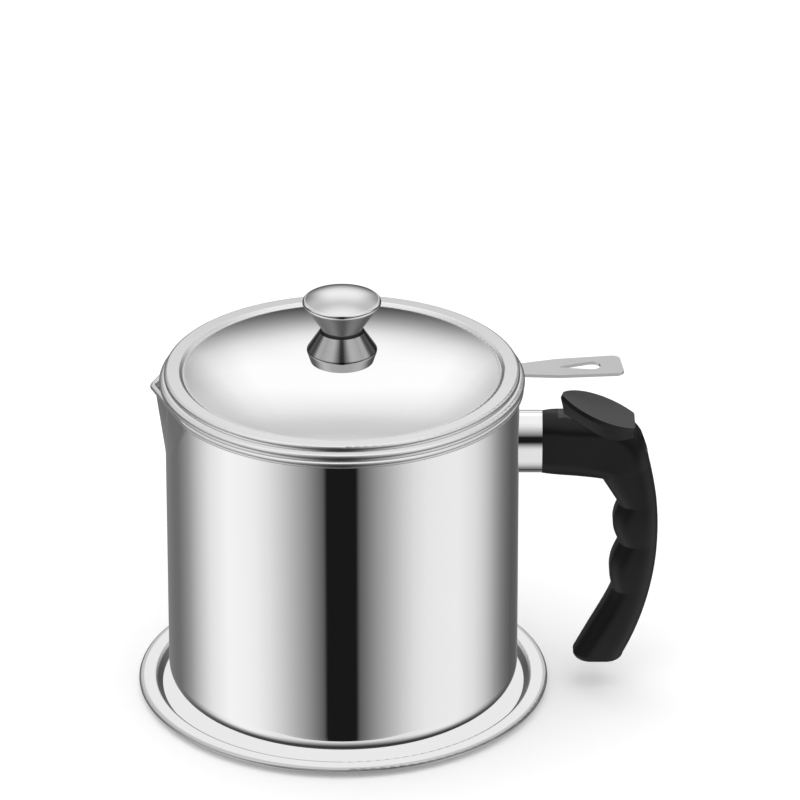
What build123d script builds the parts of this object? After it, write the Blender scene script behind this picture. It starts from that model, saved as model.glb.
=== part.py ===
from build123d import *

import os
from math import acos, cos, degrees, dist, pi, radians, sin, sqrt

# Bacon grease container, stacked for storage: drip tray, pot with handle, strainer, lid.
# Millimetres, +Z up. The origin is the centre of the tray's underside. The handle points
# along +X and the pouring spout along -X. Each pressed shell is one sheet, drawn as one
# skin line and thickened, so folds, rims and valleys keep the thickness of the sheet.

# ---------------------------------------------------------------- driving dimensions
sheet = 0.6  # stainless sheet of every pressed shell
nest_gap = 0.2  # air between one rolled rim and the next

tray_radius = 76.3
tray_hem = 1.7  # diameter of the rolled edge
tray_step_outer_radius = 70.0
tray_step_inner_radius = 67.9
tray_step_height = 3.1
platform_base_radius = 43.7
platform_top_radius = 38.7
platform_rise = 2.0

pot_radius = 65.0
pot_height = 120.5  # base to the top of the rolled rim
pot_corner_radius = 8.0
pot_rim_bead = 2.3  # diameter of the rolled rim
pot_base_recess_radius = 34.0
pot_base_recess = 1.0

spout_reach = 3.9  # how far the unrounded lip stands out of the cylinder
spout_pinch = 0.9  # how far its two flanks are pressed into the cylinder
spout_height = 27.0
spout_lip_radius = 3.0
spout_blend_radius = 25.0

strainer_radius = 63.1
strainer_height = 21.4
strainer_rim_bead = 3.0
strainer_corner_radius = 4.0
strainer_opening_radius = 51.7
strainer_lip_bead = 1.1
mesh_radius = 54.0
mesh_thickness = 0.4
mesh_ring_outer_radius = 55.0
mesh_ring_inner_radius = 44.6

tab_angle = 6.5  # degrees from the handle, seen from above
tab_length = 36.5
tab_root_width = 9.5
tab_shoulder = 13.0  # distance from the root to the full width
tab_shoulder_width = 14.0
tab_end_width = 15.5
tab_thickness = 1.2
tab_weld_lap = 0.5
tab_slot_start = 14.0
tab_slot_length = 15.0
tab_slot_width = 6.4

lid_radius = 65.25
lid_rim_bead = 2.5
lid_dome_radius = 58.4
lid_dome_rise = 3.75  # crown above the flat rim
lid_dome_step = 1.1  # dome's edge below the flat rim
lid_step_width = 1.2
lid_skirt_radius = 61.3
lid_skirt_depth = 12.0  # below the rim bead
lid_skirt_curl = 1.6  # bottom edge turned inwards
knob_seat_radius = 11.9

knob_waist_height = 12.6
knob_height = 27.6
knob_waist_radius = 7.6
knob_foot_radius = 11.6
knob_flare_radius = 13.0
knob_flare_height = 4.3
knob_cap_radius = 14.4
knob_lip_bottom = 22.0
knob_lip_top = 24.3

screw_radius = 2.0
screw_clearance_radius = 2.25
screw_head_radius = 4.0
screw_head_height = 2.6
washer_thickness = 0.8
knob_nut_radius = 4.6
knob_nut_height = 4.0
bracket_pad_thickness = 1.5
bracket_boss_radius = 4.0
bracket_thread_depth = 4.2
screw_seat_x = 104.0  # bottom of the recess in the grip's back

ferrule_height = 24.6
ferrule_width = 15.0
ferrule_length = 8.4
ferrule_centre = 96.9  # above the pot's base
grip_back_radius = 116.0  # long arc of the grip's back
grip_back_centre = (0.5, 62.3)
grip_corner_radius = 6.6
grip_end_drop = 2.9  # rounding of the lower end
grip_end_inset = 4.5
# height above the pot's base, depth from front to back, width: up to the lowest finger groove
grip_foot_sections = (
    (10.6, 18.6, 16.2),
    (16.0, 18.2, 16.9),
    (23.0, 17.2, 17.3),
    (30.5, 15.6, 17.5),
    (38.0, 14.1, 17.6),
)
finger_grooves = (38.0, 57.0, 73.0)
finger_groove_depth = 14.1  # front to back
finger_swell = 2.6
grip_width = 17.6
# front point and back point (distance from the pot's axis, height), width
bend_sections = (
    ((98.9, 78.0), (114.8, 80.7), 17.7),
    ((95.6, 83.3), (113.1, 88.8), 17.7),
)
neck_sections = (
    ((94.0, 83.7), (110.8, 98.3), 17.5),
    ((91.0, 83.9), (107.2, 103.7), 17.0),
    ((86.0, 84.2), (95.5, 108.2), 16.4),
    ((80.0, 84.4), (81.5, 109.0), 15.4),
    ((73.4, 84.8), (73.4, 108.7), 13.6),
)
thumb_rest_front = (82.0, 115.8)
thumb_rest_slope = 22.5
thumb_rest_edge = 1.8
# depth under the plate, front inset, length, width, tail width: narrowing into the neck
thumb_rest_sections = (
    (0.0, 0.0, 27.6, 21.4, 13.0),
    (3.0, 1.6, 27.8, 18.0, 12.6),
    (8.0, 4.0, 27.2, 13.6, 10.0),
)

# ---------------------------------------------------------------- stacking heights
pot_z = platform_rise + sheet
pot_top = pot_z + pot_height
pot_bead_z = pot_top - pot_rim_bead / 2
pot_bead_radius = pot_radius + 0.5  # centre line of the rolled rim

strainer_bead_z = pot_top + nest_gap + strainer_rim_bead / 2
strainer_top = strainer_bead_z + strainer_rim_bead / 2
strainer_floor_z = strainer_top - strainer_height
strainer_bead_radius = pot_bead_radius

lid_bead_radius = lid_radius - lid_rim_bead / 2
lid_bead_z = strainer_top + nest_gap + lid_rim_bead / 2
lid_flange_z = lid_bead_z + lid_rim_bead / 2
lid_bottom = lid_bead_z - lid_rim_bead / 2 - lid_skirt_depth
lid_crown_z = lid_flange_z + lid_dome_rise
handle_z = pot_z + ferrule_centre

parts_folder = "parts"
os.makedirs(parts_folder, exist_ok=True)


class SpoutOutline(BaseSketchObject):
    """Plan of the pot's wall: a circle drawn out to a pinched lip at -X.

    fade is 1 at the rim, where the spout is fullest, and near 0 where it meets the cylinder.
    """

    def __init__(self, radius, fade, growth=0.0, mode=Mode.ADD):
        flank = radius - spout_pinch * fade
        lip_angle = acos((pot_radius - spout_pinch * fade) / (pot_radius + spout_reach * fade))
        tip = flank / cos(lip_angle)
        corner_angle = degrees(lip_angle + acos(flank / radius))
        corner = Vector(-radius, 0).rotate(Axis.Z, corner_angle)
        with BuildSketch() as outline:
            with BuildLine():
                ThreePointArc(corner, (radius, 0), (corner.X, -corner.Y))
                Polyline((corner.X, -corner.Y), (-tip, 0), corner)
            make_face()
            fillet(outline.vertices().group_by(Axis.X)[0], radius=spout_lip_radius + growth)
            fillet(outline.vertices().group_by(Axis.X)[-1], radius=spout_blend_radius)
        super().__init__(obj=outline.sketch, align=None, mode=mode)


def export(builder, name):
    """Label a finished piece and write it to its own STEP file."""
    builder.part.label = name
    export_step(builder.part, f"{parts_folder}/{name}.step")
    print(name, round(builder.part.volume, 1))


def pan_head_screw(seat, length):
    """Cross-recessed pan head screw; seat is the plane under its head, facing out."""
    with BuildPart() as screw:
        with BuildSketch(seat):
            Circle(screw_head_radius)
        extrude(amount=screw_head_height)
        rim = screw.edges().filter_by(GeomType.CIRCLE).sort_by(Axis(seat.origin, seat.z_dir))[-1]
        fillet(rim, radius=1.2)
        with BuildSketch(seat.offset(screw_head_height)):
            Rectangle(2 * screw_radius, 0.25 * screw_head_radius)
            Rectangle(0.25 * screw_head_radius, 2 * screw_radius)
        extrude(amount=-screw_head_height / 2, mode=Mode.SUBTRACT)
        with BuildSketch(seat):
            Circle(screw_radius)
        extrude(amount=-length)
    return screw


def flat_washer(seat):
    """Washer lying on the plane seat."""
    with BuildPart() as washer:
        with BuildSketch(seat):
            Circle(screw_head_radius + 0.3)
            Circle(screw_clearance_radius, mode=Mode.SUBTRACT)
        extrude(amount=washer_thickness)
    return washer


# ---------------------------------------------------------------- tray
with BuildPart() as tray:
    with BuildSketch(Plane.XZ):
        with BuildLine():
            FilletPolyline(
                (0, platform_rise),
                (platform_top_radius, platform_rise),
                (platform_base_radius, 0),
                (tray_step_inner_radius, 0),
                (tray_step_outer_radius, tray_step_height),
                (tray_radius - tray_hem / 2, tray_step_height),
                radius=1.0,
            )
            offset(amount=sheet, side=Side.LEFT)
        make_face()
        with Locations((tray_radius - tray_hem / 2, tray_step_height + sheet - tray_hem / 2)):
            Circle(tray_hem / 2)
    revolve(axis=Axis.Z)
export(tray, "tray")

# ---------------------------------------------------------------- pot
spout_z = pot_bead_z - spout_height
spout_levels = (1.0, 0.72, 0.48, 0.29, 0.15, 0.06, 0.0)
least_fade = 0.015
with BuildPart() as pot_body:
    # Base and plain wall: a recessed base, a drawn corner and the cylinder
    with BuildSketch(Plane.XZ):
        with BuildLine():
            FilletPolyline(
                (0, pot_z + pot_base_recess),
                (pot_base_recess_radius, pot_z + pot_base_recess),
                (pot_base_recess_radius + 1.5, pot_z),
                (pot_radius, pot_z),
                (pot_radius, spout_z),
                radius=(0.5, 0.5, pot_corner_radius),
            )
            offset(amount=sheet, side=Side.LEFT)
        make_face()
    revolve(axis=Axis.Z)
    # Spout: the cylinder is drawn out to a pinched lip, fading away below the rim
    for level in spout_levels:
        with BuildSketch(Plane.XY.offset(spout_z + spout_height * level)):
            SpoutOutline(pot_radius, max(level, least_fade))
    loft()
    for level in spout_levels:
        with BuildSketch(Plane.XY.offset(spout_z + spout_height * level)):
            SpoutOutline(pot_radius - sheet, max(level, least_fade), growth=-sheet)
    loft(mode=Mode.SUBTRACT)
    # Rolled rim along the same outline
    with BuildSketch(Plane.XY.offset(pot_bead_z), mode=Mode.PRIVATE) as rim_outline:
        SpoutOutline(pot_bead_radius, 1.0, growth=pot_bead_radius - pot_radius)
    rim_path = rim_outline.sketch.face().outer_wire()
    with BuildSketch(rim_path ^ 0):
        Circle(pot_rim_bead / 2)
    sweep(path=rim_path)
export(pot_body, "pot_body")

# ---------------------------------------------------------------- handle
handle_plane = Plane(origin=(0, 0, handle_z), x_dir=(0, 1, 0), z_dir=(1, 0, 0))
ferrule_end = pot_radius + ferrule_length
neck_tenon_length = 3.0
bracket_end = ferrule_end - neck_tenon_length - sheet

with BuildPart() as handle_bracket:
    # Weld pad, curved to the pot's wall
    with BuildSketch(handle_plane):
        Ellipse(ferrule_width / 2 - 1.8, ferrule_height / 2 - 1.8)
    extrude(amount=pot_radius + bracket_pad_thickness)
    # Threaded boss for the handle's screw
    with BuildSketch(handle_plane):
        Circle(bracket_boss_radius)
    extrude(amount=bracket_end)
    with BuildSketch(Plane.XY.offset(pot_z)):
        Circle(pot_radius)
    extrude(amount=pot_height, mode=Mode.SUBTRACT)
    with Locations(handle_plane.offset(bracket_end)):
        Hole(screw_radius, depth=bracket_thread_depth)
export(handle_bracket, "handle_bracket")

with BuildPart() as handle_ferrule:
    # Oval sleeve, scribed to the pot's wall
    with BuildSketch(handle_plane):
        Ellipse(ferrule_width / 2, ferrule_height / 2)
        Ellipse(ferrule_width / 2 - sheet, ferrule_height / 2 - sheet, mode=Mode.SUBTRACT)
    extrude(amount=ferrule_end)
    with BuildSketch(Plane.XY.offset(pot_z)):
        Circle(pot_radius)
    extrude(amount=pot_height, mode=Mode.SUBTRACT)
export(handle_ferrule, "handle_ferrule")


def grip_back(height):
    """X of the grip's back at a height above the pot's base."""
    return grip_back_centre[0] + sqrt(grip_back_radius**2 - (height - grip_back_centre[1]) ** 2)


def column_section(height, depth, width):
    """Level section of the grip as its front point, back point and width."""
    return (grip_back(height) - depth, height), (grip_back(height), height), width


def section_plane(front, back):
    """Plane across the grip through a front and a back point (distance from the axis, height)."""
    across = Vector(back[0] - front[0], 0, back[1] - front[1])
    middle = ((front[0] + back[0]) / 2, 0, pot_z + (front[1] + back[1]) / 2)
    return Plane(origin=middle, x_dir=across, z_dir=across.cross(Vector(0, 1, 0)))


# Stretches of the grip from its lower end to the ferrule, with a crease where two meet
grip_stretches = [[column_section(*section) for section in grip_foot_sections]]
for lower, upper in zip(finger_grooves, finger_grooves[1:]):
    grip_stretches.append(
        [
            column_section(
                lower + (upper - lower) * part,
                finger_groove_depth + finger_swell * sin(pi * part),
                grip_width + 0.2 * finger_swell * sin(pi * part),
            )
            for part in (0, 0.25, 0.5, 0.75, 1)
        ]
    )
grip_stretches.append([grip_stretches[-1][-1], *bend_sections])
grip_stretches.append([bend_sections[-1], *neck_sections])
neck_tenon_gap = 0.1

thumb_rest_plane = Plane(
    origin=(thumb_rest_front[0], 0, pot_z + thumb_rest_front[1]),
    x_dir=Vector(1, 0, 0).rotate(Axis.Y, thumb_rest_slope),
    z_dir=Vector(0, 0, 1).rotate(Axis.Y, thumb_rest_slope),
)


class ThumbRestOutline(BaseSketchObject):
    """Leaf outline of the thumb rest: rounded front, full middle, narrower rounded tail."""

    def __init__(self, front, length, width, tail_width, mode=Mode.ADD):
        tip = front - 0.07 * length
        tail = front + length
        with BuildSketch() as leaf:
            with BuildLine():
                side = ThreePointArc((tip, 0), (front + 0.46 * length, width / 2), (tail, tail_width / 2))
                mirror(side, about=Plane.XZ)
                Line((tail, tail_width / 2), (tail, -tail_width / 2))
            make_face()
            fillet(leaf.vertices().group_by(Axis.X)[0], radius=0.2 * width)
            fillet(leaf.vertices().group_by(Axis.X)[-1], radius=2.0)
        super().__init__(obj=leaf.sketch, align=None, mode=mode)


with BuildPart() as handle_grip:
    # Grip and neck in one sweep of sections, creased at each finger groove
    for stretch in grip_stretches:
        for front, back, width in stretch:
            with BuildSketch(section_plane(front, back)):
                RectangleRounded(dist(front, back), width, grip_corner_radius)
        loft()
    # Rounded lower end
    end_height, end_depth, end_width = grip_foot_sections[0]
    for angle in (0, 22, 44, 66, 80):
        inset = grip_end_inset * (1 - cos(radians(angle)))
        with BuildSketch(Plane.XY.offset(pot_z + end_height - grip_end_drop * sin(radians(angle)))):
            with Locations((grip_back(end_height) - end_depth / 2, 0)):
                RectangleRounded(end_depth - 2 * inset, end_width - 2 * inset, grip_corner_radius - inset)
    loft()
    # Tenon inside the ferrule
    with BuildSketch(handle_plane.offset(ferrule_end + neck_tenon_gap)):
        Ellipse(ferrule_width / 2 - sheet - neck_tenon_gap, ferrule_height / 2 - sheet - neck_tenon_gap)
    extrude(amount=-neck_tenon_length)
    # Thumb rest: a leaf-shaped plate that narrows under its edge into the neck
    with BuildSketch(thumb_rest_plane):
        ThumbRestOutline(*thumb_rest_sections[0][1:])
    extrude(amount=-thumb_rest_edge)
    for depth, *outline in thumb_rest_sections:
        with BuildSketch(thumb_rest_plane.offset(-thumb_rest_edge - depth)):
            ThumbRestOutline(*outline)
    loft()
    # Screw recess in the back and its hole through the neck
    with Locations(handle_plane.offset(grip_back(ferrule_centre) + 1.0)):
        CounterBoreHole(
            radius=screw_clearance_radius,
            counter_bore_radius=screw_head_radius + 0.6,
            counter_bore_depth=grip_back(ferrule_centre) + 1.0 - screw_seat_x,
        )
export(handle_grip, "handle_grip")

handle_washer_seat = handle_plane.offset(screw_seat_x)
handle_washer = flat_washer(handle_washer_seat)
export(handle_washer, "handle_washer")

handle_screw_seat = handle_plane.offset(screw_seat_x + washer_thickness)
handle_screw_length = handle_screw_seat.origin.X - bracket_end + bracket_thread_depth - 0.4
handle_screw = pan_head_screw(handle_screw_seat, handle_screw_length)
export(handle_screw, "handle_screw")

# ---------------------------------------------------------------- strainer
with BuildPart() as strainer_pan:
    with BuildSketch(Plane.XZ):
        with BuildLine():
            FilletPolyline(
                (strainer_opening_radius, strainer_floor_z),
                (strainer_radius, strainer_floor_z),
                (strainer_radius, strainer_top - sheet),
                (strainer_bead_radius, strainer_top - sheet),
                radius=(strainer_corner_radius, 0.5),
            )
            offset(amount=sheet, side=Side.LEFT)
        make_face()
        with Locations((strainer_bead_radius, strainer_bead_z)):
            Circle(strainer_rim_bead / 2)
        lip = strainer_lip_bead / 2
        with Locations((strainer_opening_radius + lip, strainer_floor_z + lip)):
            Circle(lip)
    revolve(axis=Axis.Z)
export(strainer_pan, "strainer_pan")

with BuildPart() as strainer_mesh:
    with BuildSketch(Plane.XY.offset(strainer_floor_z - mesh_thickness)):
        Circle(mesh_radius)
    extrude(amount=mesh_thickness)
export(strainer_mesh, "strainer_mesh")

with BuildPart() as mesh_ring:
    with BuildSketch(Plane.XY.offset(strainer_floor_z - mesh_thickness - sheet)):
        Circle(mesh_ring_outer_radius)
        Circle(mesh_ring_inner_radius, mode=Mode.SUBTRACT)
    extrude(amount=sheet)
export(mesh_ring, "mesh_ring")

with BuildPart() as strainer_tab:
    tab_plane = Plane.XY.offset(strainer_bead_z - tab_thickness / 2).rotated((0, 0, tab_angle))
    tab_end = strainer_bead_radius + strainer_rim_bead / 2 + tab_length
    tab_root = strainer_bead_radius + strainer_rim_bead / 2 - tab_weld_lap
    with BuildSketch(tab_plane) as tab_outline:
        with BuildLine():
            edge = Polyline(
                (tab_root, tab_root_width / 2),
                (tab_root + tab_shoulder, tab_shoulder_width / 2),
                (tab_end, tab_end_width / 2),
                (tab_end, 0),
            )
            mirror(edge, about=Plane.XZ)
            Line((tab_root, -tab_root_width / 2), (tab_root, tab_root_width / 2))
        make_face()
        fillet(tab_outline.vertices().group_by(Axis.X)[-1], radius=3.0)
        # Hanging slot, pointed towards the rim
        slot_outer = tab_slot_start + tab_slot_length - tab_slot_width / 2
        with BuildSketch(mode=Mode.SUBTRACT):
            with Locations((tab_root + tab_slot_start + 0.6, 0)):
                Circle(0.6)
            with Locations((tab_root + slot_outer, 0)):
                Circle(tab_slot_width / 2)
            make_hull()
    extrude(amount=tab_thickness)
    with Locations((0, 0, strainer_bead_z)):
        Torus(strainer_bead_radius, strainer_rim_bead / 2, mode=Mode.SUBTRACT)
export(strainer_tab, "strainer_tab")

# ---------------------------------------------------------------- lid
with BuildPart() as lid_shell:
    dome_edge = (lid_dome_radius, lid_flange_z - lid_dome_step)
    with BuildSketch(Plane.XZ):
        with BuildLine() as lid_skin:
            Line((0, lid_crown_z), (knob_seat_radius, lid_crown_z))
            TangentArc((knob_seat_radius, lid_crown_z), dome_edge, tangent=(1, 0))
            FilletPolyline(
                dome_edge,
                (lid_dome_radius + lid_step_width, lid_flange_z),
                (lid_bead_radius, lid_flange_z),
                radius=0.7,
            )
            fillet(lid_skin.vertices().sort_by_distance(dome_edge)[0], radius=0.7)
            offset(amount=sheet, side=Side.RIGHT)
        make_face()
        with Locations((lid_bead_radius, lid_bead_z)):
            Circle(lid_rim_bead / 2)
    revolve(axis=Axis.Z)
    with Locations(Plane.XY.offset(lid_crown_z)):
        Hole(screw_clearance_radius)
export(lid_shell, "lid_shell")

with BuildPart() as lid_skirt:
    # Locating ring, welded under the flat rim
    with BuildSketch(Plane.XZ):
        with BuildLine():
            FilletPolyline(
                (lid_skirt_radius - lid_skirt_curl, lid_bottom),
                (lid_skirt_radius, lid_bottom),
                (lid_skirt_radius, lid_flange_z - sheet),
                radius=0.9,
            )
            offset(amount=sheet, side=Side.LEFT)
        make_face()
    revolve(axis=Axis.Z)
export(lid_skirt, "lid_skirt")

# ---------------------------------------------------------------- knob
with BuildPart() as knob_base:
    # Hollow flared foot
    with BuildSketch(Plane.XZ):
        with BuildLine():
            FilletPolyline(
                (knob_foot_radius, lid_crown_z),
                (knob_flare_radius, lid_crown_z + knob_flare_height),
                (knob_waist_radius, lid_crown_z + knob_waist_height),
                (screw_clearance_radius, lid_crown_z + knob_waist_height),
                radius=(1.2, 0.8),
            )
            offset(amount=sheet, side=Side.LEFT)
        make_face()
    revolve(axis=Axis.Z)
export(knob_base, "knob_base")

with BuildPart() as knob_cap:
    # Hollow cone with a rounded lip under a shallow crown
    waist_z = lid_crown_z + knob_waist_height
    lip_bottom = (knob_cap_radius - 0.8, lid_crown_z + knob_lip_bottom)
    lip_middle = (knob_cap_radius, lid_crown_z + (knob_lip_bottom + knob_lip_top) / 2)
    lip_top = (knob_cap_radius - 1.0, lid_crown_z + knob_lip_top)
    with BuildSketch(Plane.XZ):
        with BuildLine():
            FilletPolyline(
                (screw_clearance_radius, waist_z),
                (knob_waist_radius - 0.4, waist_z),
                lip_bottom,
                radius=0.8,
            )
            ThreePointArc(lip_bottom, lip_middle, lip_top)
            TangentArc((0, lid_crown_z + knob_height), lip_top, tangent=(1, 0))
            offset(amount=sheet, side=Side.LEFT)
        make_face()
    revolve(axis=Axis.Z)
export(knob_cap, "knob_cap")

with BuildPart() as knob_nut:
    # Hexagon nut welded inside the cap
    with BuildSketch(Plane.XY.offset(waist_z + sheet)):
        RegularPolygon(knob_nut_radius, 6)
    extrude(amount=knob_nut_height)
    with Locations(Plane.XY.offset(waist_z + sheet + knob_nut_height)):
        Hole(screw_radius)
export(knob_nut, "knob_nut")

under_dome = Plane.XY.offset(lid_crown_z - sheet).rotated((180, 0, 0))
knob_washer = flat_washer(under_dome)
export(knob_washer, "knob_washer")

knob_screw_seat = under_dome.offset(washer_thickness)
knob_screw = pan_head_screw(knob_screw_seat, waist_z + sheet + knob_nut_height - knob_screw_seat.origin.Z)
export(knob_screw, "knob_screw")
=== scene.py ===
import math

import bpy
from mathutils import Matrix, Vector


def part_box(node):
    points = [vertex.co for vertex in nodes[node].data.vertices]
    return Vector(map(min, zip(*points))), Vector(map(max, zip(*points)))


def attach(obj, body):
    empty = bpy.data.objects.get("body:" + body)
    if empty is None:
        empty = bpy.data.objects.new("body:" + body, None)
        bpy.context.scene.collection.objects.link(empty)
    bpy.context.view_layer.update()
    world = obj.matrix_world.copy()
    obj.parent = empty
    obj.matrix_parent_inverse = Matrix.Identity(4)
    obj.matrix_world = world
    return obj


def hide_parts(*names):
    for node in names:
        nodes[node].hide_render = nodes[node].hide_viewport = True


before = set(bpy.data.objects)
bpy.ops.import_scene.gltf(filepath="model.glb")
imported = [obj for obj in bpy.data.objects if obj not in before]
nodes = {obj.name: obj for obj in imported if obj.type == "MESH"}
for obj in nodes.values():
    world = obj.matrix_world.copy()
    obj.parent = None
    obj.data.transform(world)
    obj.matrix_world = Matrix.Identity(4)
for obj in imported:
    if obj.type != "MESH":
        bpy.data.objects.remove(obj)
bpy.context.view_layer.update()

# Bacon grease container: tray, pot with handle, strainer and lid. Metres, +Z up, the handle
# along +X and the spout along -X, as in the CAD frame. The pieces keep their CAD meshes and get
# their finishes here, and only the strainer's disc is replaced, by woven wire.

mm = 0.001  # metres
scene = bpy.context.scene
scene.view_settings.view_transform = "Standard"


# ---------------------------------------------------------------- small helpers
def linear(code):
    """sRGB hex such as "#c9c9c8" as a linear RGBA colour."""
    levels = [int(code[i : i + 2], 16) / 255 for i in (1, 3, 5)]
    return tuple([c / 12.92 if c <= 0.04045 else ((c + 0.055) / 1.055) ** 2.4 for c in levels] + [1.0])


def add_node(tree, kind, settings=None, links=None):
    """Add a node. settings are attributes or input values, links are input: (node, output)."""
    node = tree.nodes.new(kind)
    for name, value in (settings or {}).items():
        if isinstance(name, str) and hasattr(node, name):
            setattr(node, name, value)
        else:
            node.inputs[name].default_value = value
    for name, (source, output) in (links or {}).items():
        tree.links.new(source.outputs[output], node.inputs[name])
    return node


def set_stops(ramp, stops):
    """Give a colour ramp these (position, linear grey or sRGB hex) stops."""
    elements = ramp.color_ramp.elements
    while len(elements) > 1:
        elements.remove(elements[-1])
    for index, (position, shade) in enumerate(stops):
        element = elements[0] if index == 0 else elements.new(position)
        element.position = position
        element.color = linear(shade) if isinstance(shade, str) else (shade, shade, shade, 1.0)


def new_material(name):
    """Empty node material with its output; returns (material, tree, output)."""
    material = bpy.data.materials.new(name)
    material.use_nodes = True
    tree = material.node_tree
    tree.nodes.clear()
    return material, tree, tree.nodes.new("ShaderNodeOutputMaterial")


# ---------------------------------------------------------------- studio
def make_camera():
    """Long lens from the front and a little above, with room over the stack for its lifted lid."""
    elevation = math.radians(25.76)
    distance = 2.4
    target = Vector((21.2 * mm, 0.0, 116.3 * mm))
    data = bpy.data.cameras.new("camera")
    data.lens = 294.5
    data.sensor_width = 36.0
    camera = bpy.data.objects.new("camera", data)
    away = Vector((0.0, -math.cos(elevation), math.sin(elevation)))
    camera.location = target + away * distance
    camera.rotation_euler = (-away).to_track_quat("-Z", "Y").to_euler()
    scene.collection.objects.link(camera)
    scene.camera = camera


def make_world():
    """Softboxes all round, with narrow dark gaps between them, as polished steel needs.

    Azimuth runs from -180 behind the object through 0 in front of it, where the camera is, to 180.
    The upright walls mirror the band below the horizon, the flat and domed tops mirror the ring
    of softboxes above it. The stops below are (degrees, brightness), and paper white is 1.
    """
    world = bpy.data.worlds.new("studio")
    scene.world = world
    world.use_nodes = True
    tree = world.node_tree
    tree.nodes.clear()
    place = add_node(tree, "ShaderNodeTexCoord")
    axes = add_node(tree, "ShaderNodeSeparateXYZ", links={0: (place, "Generated")})
    front = add_node(tree, "ShaderNodeMath", {"operation": "MULTIPLY", 1: -1.0}, {0: (axes, "Y")})
    turn = add_node(tree, "ShaderNodeMath", {"operation": "ARCTAN2"}, {0: (axes, "X"), 1: (front, 0)})
    rise = add_node(tree, "ShaderNodeMath", {"operation": "ARCSINE"}, {0: (axes, "Z")})
    azimuth = add_node(
        tree, "ShaderNodeMapRange", {"From Min": -math.pi, "From Max": math.pi}, {"Value": (turn, 0)}
    )
    elevation = add_node(
        tree,
        "ShaderNodeMapRange",
        {"From Min": -math.pi / 2, "From Max": math.pi / 2},
        {"Value": (rise, 0)},
    )

    def by_azimuth(stops):
        """Brightness round the horizon."""
        ramp = add_node(tree, "ShaderNodeValToRGB", links={0: (azimuth, 0)})
        set_stops(ramp, [(0.5 + angle / 360, shade) for angle, shade in stops])
        return ramp

    def by_elevation(stops):
        """Brightness from straight down, at -90, to straight up."""
        ramp = add_node(tree, "ShaderNodeValToRGB", links={0: (elevation, 0)})
        set_stops(ramp, [(0.5 + angle / 180, shade) for angle, shade in stops])
        return ramp

    # What the upright walls mirror: two wide softboxes, and dark studio behind the object
    walls = by_azimuth(
        [
            (-180, 0.30),
            (-165, 0.22),
            (-152, 0.19),
            (-145, 0.17),
            (-136, 0.17),
            (-128, 0.24),
            (-120, 0.34),
            (-112, 0.52),
            (-104, 0.71),
            (-96, 0.89),
            (-80, 1.07),
            (-64, 1.03),
            (-48, 0.92),
            (48, 0.90),
            (64, 0.96),
            (82, 0.98),
            (96, 0.86),
            (104, 0.73),
            (112, 0.56),
            (120, 0.37),
            (128, 0.24),
            (136, 0.16),
            (146, 0.105),
            (160, 0.12),
            (180, 0.30),
        ]
    )
    # In front they end well below the horizon, and it stays dark between them and the tops' light
    downwards = by_elevation(
        [
            (-90, 0.28),
            (-82, 0.32),
            (-70, 0.7),
            (-58, 0.96),
            (-33, 1.02),
            (-25, 0.98),
            (-19, 0.66),
            (-13, 0.24),
            (-9, 0.012),
            (0, 0.012),
        ]
    )
    # At the sides and behind, the softboxes reach up almost to the horizon
    beside = by_elevation(
        [(-90, 0.28), (-82, 0.32), (-70, 0.7), (-58, 0.96), (-33, 1.02), (-12, 0.96), (-7, 0.5), (-3, 0.06)]
    )
    straight_ahead = by_azimuth([(-75, 0.0), (-45, 1.0), (45, 1.0), (75, 0.0)])
    reach = add_node(
        tree, "ShaderNodeMix", links={0: (straight_ahead, 0), 2: (beside, 0), 3: (downwards, 0)}
    )
    lower = add_node(tree, "ShaderNodeMath", {"operation": "MULTIPLY"}, {0: (walls, 0), 1: (reach, 0)})
    # Ring of eight softboxes above the horizon, for the tops, merging into one light overhead
    half_box = math.pi / 8
    from_middle = add_node(tree, "ShaderNodeMath", {"operation": "PINGPONG", 1: half_box}, {0: (turn, 0)})
    box_edge = add_node(tree, "ShaderNodeValToRGB", links={0: (from_middle, 0)})
    set_stops(
        box_edge,
        [
            (math.radians(0), 1.0),
            (math.radians(7), 1.0),
            (math.radians(10), 0.84),
            (math.radians(13), 0.42),
            (math.radians(16), 0.24),
        ],
    )
    ring = by_elevation(
        [
            (0, 0.06),
            (4, 0.10),
            (8, 0.22),
            (11.5, 0.38),
            (15, 0.62),
            (18.5, 0.88),
            (22, 1.05),
            (26, 1.16),
            (32, 1.17),
            (36, 1.08),
            (40, 0.95),
            (43.5, 0.76),
            (47, 0.68),
            (54, 0.95),
            (62, 1.2),
            (72, 1.3),
            (90, 1.15),
        ]
    )
    gaps = by_elevation([(22, 1.0), (33, 0.6), (40, 0.4), (52, 0.0)])
    boxes = add_node(tree, "ShaderNodeMix", {2: 1.0}, {0: (gaps, 0), 3: (box_edge, 0)})
    tops = add_node(tree, "ShaderNodeMath", {"operation": "MULTIPLY"}, {0: (ring, 0), 1: (boxes, 0)})
    # One broad softbox in front, brighter towards its top
    front_light = by_elevation(
        [(4, 0.012), (8, 0.2), (16.5, 0.46), (25.5, 0.7), (36, 0.95), (47, 1.05), (90, 1.05)]
    )
    in_front = by_azimuth([(-110, 0.0), (-70, 1.0), (70, 1.0), (110, 0.0)])
    upper = add_node(tree, "ShaderNodeMix", links={0: (in_front, 0), 2: (tops, 0), 3: (front_light, 0)})
    horizon = by_elevation([(-1, 0.0), (1, 1.0)])
    whole = add_node(tree, "ShaderNodeMix", links={0: (horizon, 0), 2: (lower, 0), 3: (upper, 0)})
    studio = add_node(tree, "ShaderNodeBackground", {"Strength": 1.0}, {"Color": (whole, 0)})
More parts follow.
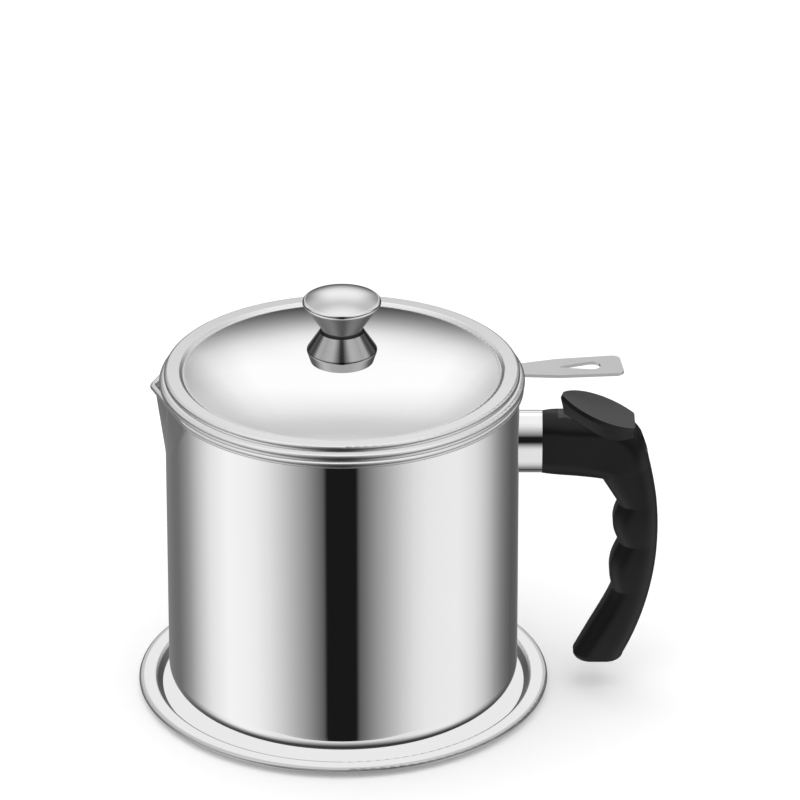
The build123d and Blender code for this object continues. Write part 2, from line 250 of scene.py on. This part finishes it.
    # Matt surfaces get even light, and the view behind the object is white paper
    white = (1.0, 1.0, 1.0, 1.0)
    even = add_node(tree, "ShaderNodeBackground", {"Color": white, "Strength": 1.02})
    backdrop = add_node(tree, "ShaderNodeBackground", {"Color": white, "Strength": 1.0})
    path = add_node(tree, "ShaderNodeLightPath")
    lit = add_node(
        tree, "ShaderNodeMixShader", links={0: (path, "Is Diffuse Ray"), 1: (studio, 0), 2: (even, 0)}
    )
    both = add_node(
        tree,
        "ShaderNodeMixShader",
        links={0: (path, "Is Camera Ray"), 1: (lit, 0), 2: (backdrop, 0)},
    )
    add_node(tree, "ShaderNodeOutputWorld", links={0: (both, 0)})


def make_flag():
    """Smoke-grey sheet upright in front, dense in its middle, that only mirror images show.

    It makes the dark strip down the middle of the pot, the strainer and the lid.
    """
    half, foot, top, distance = 300 * mm, -20 * mm, 420 * mm, 90 * mm
    shaded, wide_shaded = 100 * mm, 122 * mm  # the density stops are shares of this half width
    widens_from, wide_from = 175 * mm, 195 * mm
    behind_hem, clear_of_hem = 19 * mm, 22 * mm  # the tray's hem is this close behind it
    far_wall, clear_of_far_wall = 130 * mm, 110 * mm
    mesh = bpy.data.meshes.new("graduated_flag")
    corners = [(-half, foot), (half, foot), (half, top), (-half, top)]
    mesh.from_pydata([(x, -distance, z) for x, z in corners], [], [(0, 1, 2, 3)])
    flag = bpy.data.objects.new("graduated_flag", mesh)
    material, tree, output = new_material("graduated_smoke_sheet")
    place = add_node(tree, "ShaderNodeTexCoord")
    axes = add_node(tree, "ShaderNodeSeparateXYZ", links={0: (place, "Object")})
    aside = add_node(tree, "ShaderNodeMath", {"operation": "ABSOLUTE"}, {0: (axes, "X")})
    # It widens near its top, for the lid's skirt and the knob
    widening = add_node(
        tree,
        "ShaderNodeMapRange",
        {"From Min": widens_from, "From Max": wide_from, "To Min": shaded, "To Max": wide_shaded},
        {"Value": (axes, "Z")},
    )
    across = add_node(tree, "ShaderNodeMath", {"operation": "DIVIDE"}, {0: (aside, 0), 1: (widening, 0)})
    density = add_node(tree, "ShaderNodeValToRGB", links={0: (across, 0)})
    set_stops(
        density,
        [
            (0.095, 0.012),
            (0.12, 0.14),
            (0.165, 0.23),
            (0.25, 0.41),
            (0.35, 0.59),
            (0.465, 0.78),
            (0.6, 0.94),
            (0.8, 1.0),
        ],
    )
    # The outer walls mirror it, but neither the far inner walls nor the tray's hem right behind it
    path = add_node(tree, "ShaderNodeLightPath")
    hides = add_node(
        tree,
        "ShaderNodeMath",
        {"operation": "MULTIPLY"},
        {
            0: (step_up(tree, (path, "Ray Length"), behind_hem, clear_of_hem), 0),
            1: (step_up(tree, (path, "Ray Length"), far_wall, clear_of_far_wall), 0),
        },
    )
    shade = add_node(
        tree,
        "ShaderNodeMix",
        {"data_type": "RGBA", 6: (1.0, 1.0, 1.0, 1.0)},
        {0: (hides, 0), 7: (density, 0)},
    )
    sheet = add_node(tree, "ShaderNodeBsdfTransparent", links={0: (shade, 2)})
    tree.links.new(sheet.outputs[0], output.inputs[0])
    mesh.materials.append(material)
    flag.visible_camera = False
    flag.visible_diffuse = False
    flag.visible_shadow = False
    flag.visible_transmission = False
    scene.collection.objects.link(flag)


def make_light():
    """One wide overhead light, which the steel doesn't mirror, for soft shadows."""
    data = bpy.data.lights.new("overhead", "SUN")
    data.energy = 0.7
    data.angle = math.radians(100)
    light = bpy.data.objects.new("overhead", data)
    light.rotation_euler = (math.radians(12), math.radians(-10), 0)
    light.visible_glossy = False
    scene.collection.objects.link(light)


def make_floor():
    """Plain pale floor, out to the horizon."""
    half = 40.0
    mesh = bpy.data.meshes.new("floor")
    corners = [(-half, -half, 0), (half, -half, 0), (half, half, 0), (-half, half, 0)]
    mesh.from_pydata(corners, [], [(0, 1, 2, 3)])
    floor = bpy.data.objects.new("floor", mesh)
    material, tree, output = new_material("pale_paper_floor")
    shader = add_node(
        tree,
        "ShaderNodeBsdfPrincipled",
        {"Base Color": linear("#fdfdfd"), "Roughness": 0.9, "Specular IOR Level": 0.0},
    )
    tree.links.new(shader.outputs[0], output.inputs[0])
    mesh.materials.append(material)
    floor.visible_glossy = False
    scene.collection.objects.link(floor)


# ---------------------------------------------------------------- where a finish lies
# Heights and distances from the upright axis, from the outer sizes of the pieces
pot_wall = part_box("pot_body")[1][1] - 1.65 * mm  # the rolled rim stands out from it
pot_inner_wall = pot_wall - 0.6 * mm  # sheet
pot_corner = 14 * mm  # the wall's rounded foot ends below this
pot_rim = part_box("pot_body")[1][2] - 2.4 * mm
strainer_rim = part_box("strainer_pan")[1][2] - 3.1 * mm
strainer_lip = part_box("strainer_mesh")[1][0] - 1.0 * mm  # bead round the opening
mesh_ring_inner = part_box("mesh_ring")[1][0] - 11.0 * mm
lid_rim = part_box("lid_shell")[1][0] - 7.9 * mm  # the dome ends
lid_fall = lid_rim + 2.4 * mm  # the flat rim begins to fall towards its bead
tray_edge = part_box("tray")[1][0]
tray_hem = tray_edge - 1.8 * mm
tray_flange = tray_edge - 6.1 * mm
tray_step = tray_edge - 8.7 * mm
tray_platform = tray_edge - 32.3 * mm
tray_platform_top = tray_edge - 37.8 * mm
knob_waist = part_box("knob_cap")[0][2] - 0.9 * mm
knob_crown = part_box("knob_cap")[1][0] - 0.9 * mm
soft_height, soft_radius = 0.1 * mm, 0.15 * mm  # half of the blend between two finishes


def place_of(tree):
    """Object coordinates: (coordinates, their axes, distance from the upright axis)."""
    place = add_node(tree, "ShaderNodeTexCoord")
    axes = add_node(tree, "ShaderNodeSeparateXYZ", links={0: (place, "Object")})
    flat = add_node(tree, "ShaderNodeCombineXYZ", links={0: (axes, "X"), 1: (axes, "Y")})
    return place, axes, add_node(tree, "ShaderNodeVectorMath", {"operation": "LENGTH"}, {0: (flat, 0)})


def outward_of(tree, place):
    """Unit vector away from the upright axis."""
    flat = add_node(
        tree, "ShaderNodeVectorMath", {"operation": "MULTIPLY", 1: (1, 1, 0)}, {0: (place, "Object")}
    )
    return add_node(tree, "ShaderNodeVectorMath", {"operation": "NORMALIZE"}, {0: (flat, 0)})


def step_up(tree, source, start, end):
    """0 below start and 1 above end of a (node, output) value; swapped ends step down."""
    low, high, first, second = (start, end, 0.0, 1.0) if start < end else (end, start, 1.0, 0.0)
    return add_node(
        tree,
        "ShaderNodeMapRange",
        {"From Min": low, "From Max": high, "To Min": first, "To Max": second},
        {"Value": source},
    )


def above(level):
    """Zone above this height."""
    return lambda tree, place, axes, radius: step_up(
        tree, (axes, "Z"), level - soft_height, level + soft_height
    )


def beyond(limit):
    """Zone further from the upright axis than this."""
    return lambda tree, place, axes, radius: step_up(
        tree, (radius, "Value"), limit - soft_radius, limit + soft_radius
    )


def within(limit):
    """Zone nearer to the upright axis than this."""
    return lambda tree, place, axes, radius: step_up(
        tree, (radius, "Value"), limit + soft_radius, limit - soft_radius
    )


def facing_down(tree, place, axes, radius):
    """Zone of the underside and the lower half of the corner round it."""
    begins, full = -0.2, -0.55  # upward part of where the face looks: -1 is straight down
    face = add_node(tree, "ShaderNodeNewGeometry")
    up = add_node(tree, "ShaderNodeSeparateXYZ", links={0: (face, "Normal")})
    return step_up(tree, (up, "Z"), begins, full)


def inside_below(level):
    """Zone of a pan's inner face and floor, which look at the axis or up, below this height."""

    def zone(tree, place, axes, radius):
        face = add_node(tree, "ShaderNodeNewGeometry")
        lowered = add_node(
            tree,
            "ShaderNodeVectorMath",
            {"operation": "ADD", 1: (0, 0, -1)},
            {0: (outward_of(tree, place), 0)},
        )
        facing = add_node(
            tree,
            "ShaderNodeVectorMath",
            {"operation": "DOT_PRODUCT"},
            {0: (face, "Normal"), 1: (lowered, 0)},
        )
        inner = add_node(tree, "ShaderNodeMath", {"operation": "LESS_THAN", 1: 0.0}, {0: (facing, "Value")})
        under = add_node(tree, "ShaderNodeMath", {"operation": "LESS_THAN", 1: level}, {0: (axes, "Z")})
        return add_node(tree, "ShaderNodeMath", {"operation": "MULTIPLY"}, {0: (inner, 0), 1: (under, 0)})

    return zone


def crown(limit):
    """Zone of a shallow crown, rising from its middle to 1 at this radius."""
    begins, full = 0.8, 0.88  # upward part of where the face looks: 1 is straight up

    def zone(tree, place, axes, radius):
        face = add_node(tree, "ShaderNodeNewGeometry")
        up = add_node(tree, "ShaderNodeSeparateXYZ", links={0: (face, "Normal")})
        upward = step_up(tree, (up, "Z"), begins, full)
        rising = add_node(tree, "ShaderNodeMapRange", {"From Max": limit}, {"Value": (radius, "Value")})
        return add_node(tree, "ShaderNodeMath", {"operation": "MULTIPLY"}, {0: (upward, 0), 1: (rising, 0)})

    return zone


def painted_reflections_and_stains(tree, place, axes, radius, colour):
    """Painted reflections: light and dark stripes up a deep drawn wall, with thin stains lying across them.
    """
    stripe_spacing = math.radians(30)
    stain_length, flatness = 22.2 * mm, 4  # a stain's height is a quarter of its length
    floor_ends, wall_begins = pot_inner_wall - 9.4 * mm, pot_inner_wall - 2.4 * mm
    floor_shade = 0.6
    # Painted reflections: lightest every 30 degrees round the axis, starting towards +Y, darker between
    turn = add_node(tree, "ShaderNodeMath", {"operation": "ARCTAN2"}, {0: (axes, "X"), 1: (axes, "Y")})
    beside = add_node(
        tree, "ShaderNodeMath", {"operation": "PINGPONG", 1: stripe_spacing / 2}, {0: (turn, 0)}
    )
    painted_stripes = add_node(tree, "ShaderNodeValToRGB", links={0: (beside, 0)})
    set_stops(
        painted_stripes,
        [
            (math.radians(0), 1.0),
            (math.radians(4), 0.76),
            (math.radians(8), 0.53),
            (math.radians(12), 0.38),
            (math.radians(15), 0.34),
        ],
    )
    on_wall = step_up(tree, (radius, "Value"), floor_ends, wall_begins)
    drawn = add_node(tree, "ShaderNodeMix", {2: floor_shade}, {0: (on_wall, 0), 3: (painted_stripes, 0)})
    squashed = add_node(
        tree,
        "ShaderNodeVectorMath",
        {"operation": "MULTIPLY", 1: (1, 1, flatness)},
        {0: (place, "Object")},
    )
    stains = add_node(
        tree, "ShaderNodeTexNoise", {"Scale": 1 / stain_length, "Detail": 6.0}, {"Vector": (squashed, 0)}
    )
    stained = add_node(tree, "ShaderNodeValToRGB", links={0: (stains, 0)})
    set_stops(stained, [(0.36, 0.82), (0.62, 1.0)])
    both = add_node(tree, "ShaderNodeMath", {"operation": "MULTIPLY"}, {0: (drawn, 0), 1: (stained, 0)})
    return add_node(
        tree,
        "ShaderNodeMix",
        {"data_type": "RGBA", "blend_type": "MULTIPLY", 0: 1.0, 7: linear(colour)},
        {6: (both, 0)},
    )


def leaning(zone, slope):
    """Face that falls outwards by this slope in the zone; a negative slope flattens a crown."""

    def shape(tree, place, axes, radius):
        face = add_node(tree, "ShaderNodeNewGeometry")
        amount = add_node(
            tree,
            "ShaderNodeMath",
            {"operation": "MULTIPLY", 1: slope},
            {0: (zone(tree, place, axes, radius), 0)},
        )
        lean = add_node(
            tree,
            "ShaderNodeVectorMath",
            {"operation": "SCALE"},
            {0: (outward_of(tree, place), 0), "Scale": (amount, 0)},
        )
        return add_node(
            tree, "ShaderNodeVectorMath", {"operation": "ADD"}, {0: (face, "Normal"), 1: (lean, 0)}
        )

    return shape


def true_wall(outer, inner, low, high):
    """Exactly upright face where a wall is a plain cylinder of these radii, between two heights.

    A mirror finish shows every facet, and beside the spout's loft the wall's facets ripple by a
    few hundredths of a millimetre. Faces off the cylinder or not square to it, as on the spout
    and in the corners, stay as they are.
    """
    at_wall, off_wall = 0.06 * mm, 0.16 * mm  # distance from the cylinder
    not_square, square = 0.97, 0.99  # cosine of the angle to the cylinder's own face
    foot_blend, rim_blend = 1 * mm, 0.3 * mm

    def shape(tree, place, axes, radius):
        face = add_node(tree, "ShaderNodeNewGeometry")
        height = add_node(
            tree,
            "ShaderNodeMath",
            {"operation": "MULTIPLY"},
            {
                0: (step_up(tree, (axes, "Z"), low - foot_blend, low + foot_blend), 0),
                1: (step_up(tree, (axes, "Z"), high + rim_blend, high), 0),
            },
        )
        outward = outward_of(tree, place)
        looks = add_node(
            tree,
            "ShaderNodeVectorMath",
            {"operation": "DOT_PRODUCT"},
            {0: (face, "Normal"), 1: (outward, 0)},
        )
        shares = []
        for wall, sign in ((outer, 1), (inner, -1)):
            off = add_node(
                tree, "ShaderNodeMath", {"operation": "SUBTRACT", 1: wall}, {0: (radius, "Value")}
            )
            gap = add_node(tree, "ShaderNodeMath", {"operation": "ABSOLUTE"}, {0: (off, 0)})
            near = step_up(tree, (gap, 0), off_wall, at_wall)
            facing = step_up(tree, (looks, "Value"), sign * not_square, sign * square)
            both = add_node(
                tree, "ShaderNodeMath", {"operation": "MULTIPLY"}, {0: (near, 0), 1: (facing, 0)}
            )
            shares.append(
                add_node(tree, "ShaderNodeMath", {"operation": "MULTIPLY"}, {0: (both, 0), 1: (height, 0)})
            )
        # 1 on the outer wall, which looks outwards, and -1 on the inner wall, which looks inwards
        side = add_node(
            tree, "ShaderNodeMath", {"operation": "SUBTRACT"}, {0: (shares[0], 0), 1: (shares[1], 0)}
        )
        share = add_node(tree, "ShaderNodeMath", {"operation": "ABSOLUTE"}, {0: (side, 0)})
        rest = add_node(tree, "ShaderNodeMath", {"operation": "SUBTRACT", 0: 1.0}, {1: (share, 0)})
        drawn = add_node(
            tree,
            "ShaderNodeVectorMath",
            {"operation": "SCALE"},
            {0: (face, "Normal"), "Scale": (rest, 0)},
        )
        exact = add_node(
            tree,
            "ShaderNodeVectorMath",
            {"operation": "SCALE"},
            {0: (outward, 0), "Scale": (side, 0)},
        )
        return add_node(tree, "ShaderNodeVectorMath", {"operation": "ADD"}, {0: (drawn, 0), 1: (exact, 0)})

    return shape


def steel(name, colour, roughness, spread, grain=0.02, zones=(), shape=None):
    """18/8 stainless steel, the usual one for kitchen ware, with the default IOR of a metal.

    Buffing leaves palm-sized smears, which change its gloss by up to spread, and marks that run
    round the axis, of strength grain. The real marks are about 0.1 mm apart, too fine to show,
    and are drawn as coarse as they need to be. zones are (zone, colour, roughness, pattern) of
    other finishes, the later ones on top, and pattern paints the colour unevenly. shape gives
    the way the face looks, as leaning() does.
    """
    mark_spacing, mark_depth = 1.11 * mm, 0.02 * mm
    smear_size = 35.7 * mm
    faint, strong = 0.3, 0.7  # the levels between which a noise pattern lies
    material, tree, output = new_material(name)
    place, axes, radius = place_of(tree)
    rings = add_node(tree, "ShaderNodeCombineXYZ", links={0: (radius, "Value"), 2: (axes, "Z")})
    marks = add_node(
        tree,
        "ShaderNodeTexNoise",
        {"Scale": 1 / mark_spacing, "Detail": 4.0, "Roughness": 0.6},
        {"Vector": (rings, 0)},
    )
    smears = add_node(
        tree, "ShaderNodeTexNoise", {"Scale": 1 / smear_size, "Detail": 3.0}, {"Vector": (place, "Object")}
    )
    shader = add_node(tree, "ShaderNodeBsdfPrincipled", {"Base Color": linear(colour), "Metallic": 1.0})
    tint, gloss = None, None
    for zone, zone_colour, zone_roughness, pattern in zones:
        mask = zone(tree, place, axes, radius)
        here = add_node(tree, "ShaderNodeMix", {"data_type": "RGBA", 6: linear(colour)}, {0: (mask, 0)})
        if tint:
            tree.links.new(tint.outputs[2], here.inputs[6])
        if pattern:
            painted = pattern(tree, place, axes, radius, zone_colour)
            tree.links.new(painted.outputs[2], here.inputs[7])
        else:
            here.inputs[7].default_value = linear(zone_colour)
        tint = here
        rough = add_node(tree, "ShaderNodeMix", {2: roughness, 3: zone_roughness}, {0: (mask, 0)})
        if gloss:
            tree.links.new(gloss.outputs[0], rough.inputs[2])
        gloss = rough
    uneven = add_node(
        tree,
        "ShaderNodeMapRange",
        {"From Min": faint, "From Max": strong, "To Min": 0.0, "To Max": spread},
        {"Value": (smears, 0)},
    )
    total = add_node(tree, "ShaderNodeMath", {"operation": "ADD", 0: roughness}, {1: (uneven, 0)})
    if gloss:
        tree.links.new(tint.outputs[2], shader.inputs["Base Color"])
        tree.links.new(gloss.outputs[0], total.inputs[0])
    tree.links.new(total.outputs[0], shader.inputs["Roughness"])
    bump = add_node(
        tree, "ShaderNodeBump", {"Strength": grain, "Distance": mark_depth}, {"Height": (marks, 0)}
    )
    if shape:
        tree.links.new(shape(tree, place, axes, radius).outputs[0], bump.inputs["Normal"])
    tree.links.new(bump.outputs[0], shader.inputs["Normal"])
    tree.links.new(shader.outputs[0], output.inputs[0])
    return material


def wire_cloth():
    """Drawn stainless wire, woven: dull pale grey, darker and blotched where the ring clamps it.

    Its round wires scatter light every way, so it looks matt, and it is shaded as a matt grey
    instead of as a metal. Spot welding crumples and scorches it over the ring.
    """
    crumple_size = 3.125 * mm
    ring_holds = mesh_ring_inner + 1.5 * mm
    material, tree, output = new_material("woven_wire_cloth")
    place, _, radius = place_of(tree)
    crumples = add_node(
        tree,
        "ShaderNodeTexNoise",
        {"Scale": 1 / crumple_size, "Detail": 4.0, "Distortion": 0.4},
        {"Vector": (place, "Object")},
    )
    clamp = step_up(tree, (radius, "Value"), mesh_ring_inner, ring_holds)
    scorched = add_node(tree, "ShaderNodeValToRGB", links={0: (crumples, 0)})
    set_stops(scorched, [(0.36, "#707070"), (0.5, "#8c8c8c"), (0.64, "#aaaaaa")])
    colour = add_node(
        tree,
        "ShaderNodeMix",
        {"data_type": "RGBA", 6: linear("#e0e0e0")},
        {0: (clamp, 0), 7: (scorched, 0)},
    )
    shader = add_node(
        tree,
        "ShaderNodeBsdfPrincipled",
        {"Metallic": 0.0, "Roughness": 0.45},
        {"Base Color": (colour, 2)},
    )
    tree.links.new(shader.outputs[0], output.inputs[0])
    return material


def black_bakelite():
    """Black phenolic, compression moulded in a lightly blasted tool: soft sheen, softened edges.

    The blasting's grain is about 0.2 mm, too fine to show, and is drawn coarser. The flat top of
    the thumb rest is painted a lighter grey, a painted sheen of the light from above.
    """
    grain_size, grain_depth = 0.714 * mm, 0.02 * mm
    edge_radius = 0.5 * mm
    slope_ends, flat_begins = 0.905, 0.915  # upward part of where the face looks
    neck_ends, rest_begins = 79.0 * mm, 79.5 * mm  # out from the pot's axis
    material, tree, output = new_material("black_bakelite")
    place, axes, _ = place_of(tree)
    grain = add_node(
        tree, "ShaderNodeTexNoise", {"Scale": 1 / grain_size, "Detail": 3.0}, {"Vector": (place, "Object")}
    )
    softened = add_node(tree, "ShaderNodeBevel", {"Radius": edge_radius, "samples": 6})
    bump = add_node(
        tree,
        "ShaderNodeBump",
        {"Strength": 0.2, "Distance": grain_depth},
        {"Height": (grain, 0), "Normal": (softened, 0)},
    )
    face = add_node(tree, "ShaderNodeNewGeometry")
    up = add_node(tree, "ShaderNodeSeparateXYZ", links={0: (face, "True Normal")})
    # Painted sheen: the flat top of the thumb rest is lighter grey, for the light from above
    flat_top = step_up(tree, (up, "Z"), slope_ends, flat_begins)
    on_rest = step_up(tree, (axes, "X"), neck_ends, rest_begins)
    painted_sheen = add_node(
        tree, "ShaderNodeMath", {"operation": "MULTIPLY"}, {0: (flat_top, 0), 1: (on_rest, 0)}
    )
    tone = add_node(
        tree,
        "ShaderNodeMix",
        {"data_type": "RGBA", 6: linear("#0c0c0c"), 7: linear("#464646")},
        {0: (painted_sheen, 0)},
    )
    shader = add_node(
        tree,
        "ShaderNodeBsdfPrincipled",
        {"Roughness": 0.38, "IOR": 1.34},
        {"Base Color": (tone, 2), "Normal": (bump, 0)},
    )
    tree.links.new(shader.outputs[0], output.inputs[0])
    return material


def give(material, *names):
    """Put one material on these CAD nodes."""
    for name in names:
        mesh = nodes[name].data
        mesh.materials.clear()
        mesh.materials.append(material)


# ---------------------------------------------------------------- woven wire
def weave_cloth():
    """Plain weave: each wire of one row goes over and under the wires of the other.

    A real cloth of this kind has a pitch of 0.5 mm. This one is coarser, and its wires are
    three-sided with the flat side up, to keep the mesh small.
    """
    low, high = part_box("strainer_mesh")
    edge_gap = 0.2 * mm
    radius = (high[0] - low[0]) / 2 - edge_gap
    middle = (low[2] + high[2]) / 2
    pitch = 0.76 * mm
    wire_width = 0.59 * mm
    wire_height = 0.18 * mm
    sway = (high[2] - low[2] - wire_height) / 2
    corners = ((0, -1), (1, 1), (-1, 1))  # of a wire's section, in half widths and half heights
    sides = len(corners)
    count = int(radius / pitch)
    points, faces = [], []
    for across in (False, True):
        for row in range(-count, count + 1):
            middle_line = row * pitch
            steps = int(math.sqrt(radius**2 - middle_line**2) / pitch)
            for step in range(-steps, steps + 1):
                along = step * pitch
                over = 1 if (step + row + across) % 2 else -1
                height = middle + over * sway
                for out, up in corners:
                    beside = middle_line + out * wire_width / 2
                    x, y = (beside, along) if across else (along, beside)
                    points.append((x, y, height + up * wire_height / 2))
                if step > -steps:
                    here = len(points) - sides
                    last = here - sides
                    for side in range(sides):
                        after = (side + 1) % sides
                        faces.append((last + side, last + after, here + after, here + side))
    mesh = bpy.data.meshes.new("woven_cloth")
    mesh.from_pydata(points, [], faces)
    mesh.materials.append(wire_cloth())
    cloth = bpy.data.objects.new("woven_cloth", mesh)
    cloth.visible_glossy = False
    scene.collection.objects.link(cloth)
    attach(cloth, "strainer")
    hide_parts("strainer_mesh")


make_camera()
make_world()
make_flag()
make_light()
make_floor()
weave_cloth()

# ---------------------------------------------------------------- finish of each piece
# Buffed to a mirror: it shows the softboxes and the flag as sharp bands
mirror = ("#ececec", 0.05, 0.04)
# Rolled over after polishing, which dulls it: a soft even line of light
rolled_rim = ("#e8e8e8", 0.36, None)

# Drawn tube, pressed oval and buffed
give(steel("polished_stainless", *mirror), "handle_ferrule")

# Strip rolled to a ring, a shade greyer than the drawn pieces
give(steel("rolled_skirt_steel", "#d6d6d6", 0.05, 0.04), "lid_skirt")

# Deep drawn. Only the outer wall is buffed: the base keeps the dark, soft look of the press, and
# the inside is grey with stains and with painted reflections, stripes of light and shade up its wall
give(
    steel(
        "drawn_pot_steel",
        *mirror,
        zones=(
            (facing_down, "#6c6c6c", 0.3, None),
            (inside_below(pot_rim), "#a3a3a3", 0.26, painted_reflections_and_stains),
            (above(pot_rim), *rolled_rim),
        ),
        shape=true_wall(pot_wall, pot_inner_wall, pot_corner, pot_rim),
    ),
    "pot_body",
)

# Shallow drawn and buffed outside: the inside is satin, and the lip round the opening is satin
# and painted white, a painted highlight
give(
    steel(
        "drawn_strainer_steel",
        "#fafafa",
        0.05,
        0.03,
        zones=(
            (inside_below(strainer_rim), "#b4b4b4", 0.32, None),
            # Painted highlight: the lip round the opening is painted white
            (within(strainer_lip), "#ffffff", 0.3, None),
            (above(strainer_rim), *rolled_rim),
        ),
    ),
    "strainer_pan",
)

# Spun over a former and buffed while it turns: the dome is the clearest mirror of all, and the
# flat rim is satin and falls by about 4 degrees
give(
    steel(
        "spun_lid_steel",
        "#ececec",
        0.05,
        0.02,
        zones=((beyond(lid_rim), *rolled_rim),),
        shape=leaning(beyond(lid_fall), 0.07),
    ),
    "lid_shell",
)

# Spun thin and buffed by hand, so its mirror is softer. The crown is nearly flat, and the
# underside of the cone is clearer
give(
    steel(
        "spun_cap_steel",
        "#e2e2e2",
        0.17,
        0.04,
        zones=((facing_down, "#f0f0f0", 0.15, None),),
        shape=leaning(crown(knob_crown), -0.17),
    ),
    "knob_cap",
)

# Spun like the cap but greyer, with painted shade at the top of the foot, where the cap sits on it
give(
    steel("spun_foot_steel", "#b2b2b2", 0.13, 0.04, zones=((above(knob_waist), "#303030", 0.3, None),)),
    "knob_base",
)

# Pressed in one blow from bright sheet: flat parts keep the sheet's clear roll finish, and the
# step and the hem, which are stretched over the tool, turn satin. The underside is dull and painted lighter
give(
    steel(
        "pressed_tray_steel",
        "#dadada",
        0.12,
        0.02,
        zones=(
            # Painted light: the raised platform is painted lighter than the tray's floor, its slopes most
            (within(tray_platform), "#f6f6f6", 0.12, None),
            (within(tray_platform_top), "#e2e2e2", 0.12, None),
            (beyond(tray_step), "#dadada", 0.34, None),
            (beyond(tray_flange), "#dadada", 0.12, None),
            (beyond(tray_hem), "#c8c8c8", 0.3, None),
            # Painted light: the underside is painted lighter than the rest of the sheet
            (facing_down, "#f0f0f0", 0.5, None),
        ),
    ),
    "tray",
)

# Stamped from thicker sheet and tumbled: an even satin, without any mirror image
give(steel("stamped_tab_steel", "#c6c6c6", 0.3, 0.06), "strainer_tab")

# Stamped ring, scorched and wrinkled by its spot welds: grey, with uneven gloss
give(steel("scorched_ring_steel", "#a8a8a8", 0.35, 0.15, 0.4), "mesh_ring")

# Turned on a lathe and left so: bright, with tool marks round each part
fasteners = ("handle_washer", "handle_screw", "handle_bracket", "knob_washer", "knob_screw", "knob_nut")
give(steel("turned_fastener_steel", "#c0c0c0", 0.22, 0.08, 0.1), *fasteners)

give(black_bakelite(), "handle_grip")

# The pieces stand close together: they mirror the studio and not each other
for name in nodes:
    nodes[name].visible_glossy = False
# Bright steel throws light back on the cloth under it, so the lid and its knob don't shade it
for name in ("lid_shell", "lid_skirt", "knob_base", "knob_cap"):
    nodes[name].visible_diffuse = False
